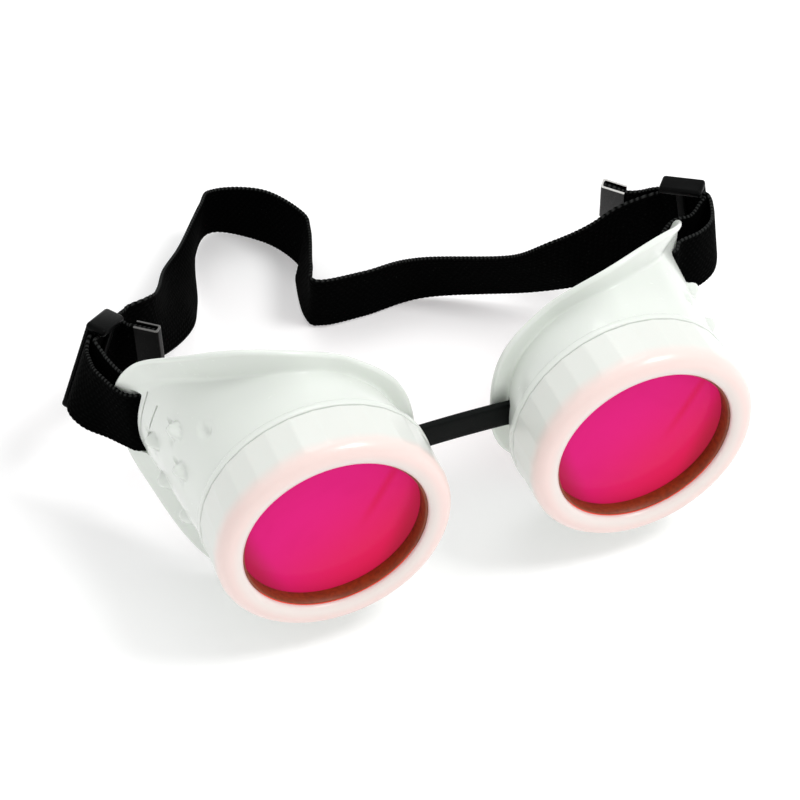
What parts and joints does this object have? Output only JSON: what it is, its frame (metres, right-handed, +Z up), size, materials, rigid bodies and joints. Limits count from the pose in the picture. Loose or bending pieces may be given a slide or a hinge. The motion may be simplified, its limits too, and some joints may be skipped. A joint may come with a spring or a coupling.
{
  "type": "welding goggles",
  "caption": "Round eye-cup welding goggles: vented white cups with a face flange, screw-on lens rings, tinted lenses, a nose strap and an elastic headband with sliders.",
  "frame": {"origin": "centre of the bounding box at the resting plane", "axes": "-Y is the way the lenses face, +X runs from the left cup to the right cup as seen from the front, +Z is up as worn"},
  "size_m": [0.1873, 0.1668, 0.0796],
  "materials": {
    "left_cup": "moulded, semi-gloss",
    "right_cup": "moulded, semi-gloss",
    "left_ring": "moulded, semi-gloss",
    "right_ring": "moulded, semi-gloss",
    "left_lens": "transparent, polished",
    "right_lens": "transparent, polished",
    "left_gasket": "dull",
    "right_gasket": "dull",
    "left_strap_loop": "woven",
    "right_strap_loop": "woven",
    "headband": "woven",
    "left_slider": "moulded",
    "right_slider": "moulded",
    "left_end_clip": "folded sheet",
    "right_end_clip": "folded sheet",
    "nose_bridge": "moulded, flexible"
  },
  "bodies": {
    "left_frame": {"left_cup": "left_cup", "left_strap_loop": "left_strap_loop", "left_end_clip": "left_end_clip", "headband": "headband", "nose_bridge": "nose_bridge"},
    "right_frame": {"right_cup": "right_cup", "right_strap_loop": "right_strap_loop", "right_end_clip": "right_end_clip"},
    "left_lens_stack": {"left_lens": "left_lens", "left_gasket": "left_gasket"},
    "left_screw_ring": {"left_ring": "left_ring"},
    "right_lens_stack": {"right_lens": "right_lens", "right_gasket": "right_gasket"},
    "right_screw_ring": {"right_ring": "right_ring"},
    "left_glide": {"left_slider": "left_slider"},
    "right_glide": {"right_slider": "right_slider"}
  },
  "joints": [
    {"name": "nose_flex", "type": "hinge", "parent": "left_frame", "child": "right_frame", "pos_m": [-0.004, -0.0584, 0.0398], "axis": [0, 0, 1], "range_deg": [-20, 20], "deforming": ["nose_bridge", "headband"]},
    {"name": "left_ring_lift", "type": "slide", "parent": "left_frame", "child": "left_lens_stack", "axis": [0, -1, 0], "range_m": [0, 0.006]},
    {"name": "left_ring_turn", "type": "hinge", "parent": "left_lens_stack", "child": "left_screw_ring", "pos_m": [-0.0445, -0.0818, 0.0398], "axis": [0, -1, 0], "range_deg": [0, 1080]},
    {"name": "right_ring_lift", "type": "slide", "parent": "right_frame", "child": "right_lens_stack", "axis": [0, -1, 0], "range_m": [0, 0.006]},
    {"name": "right_ring_turn", "type": "hinge", "parent": "right_lens_stack", "child": "right_screw_ring", "pos_m": [0.0365, -0.0818, 0.0398], "axis": [0, -1, 0], "range_deg": [0, 1080]},
    {"name": "left_slider_slide", "type": "slide", "parent": "left_frame", "child": "left_glide", "axis": [0.5998, 0.7196, -0.3498], "range_m": [0, 0.0035], "deforming": ["left_strap_loop"]},
    {"name": "right_slider_slide", "type": "slide", "parent": "right_frame", "child": "right_glide", "axis": [-0.74, 0.66, -0.13], "range_m": [0, 0.0055], "deforming": ["right_strap_loop"]}
  ],
  "couplings": [
    {"joint": "left_ring_lift", "follows": "left_ring_turn", "m_per_rad": 0.00031831},
    {"joint": "right_ring_lift", "follows": "right_ring_turn", "m_per_rad": 0.00031831}
  ]
}
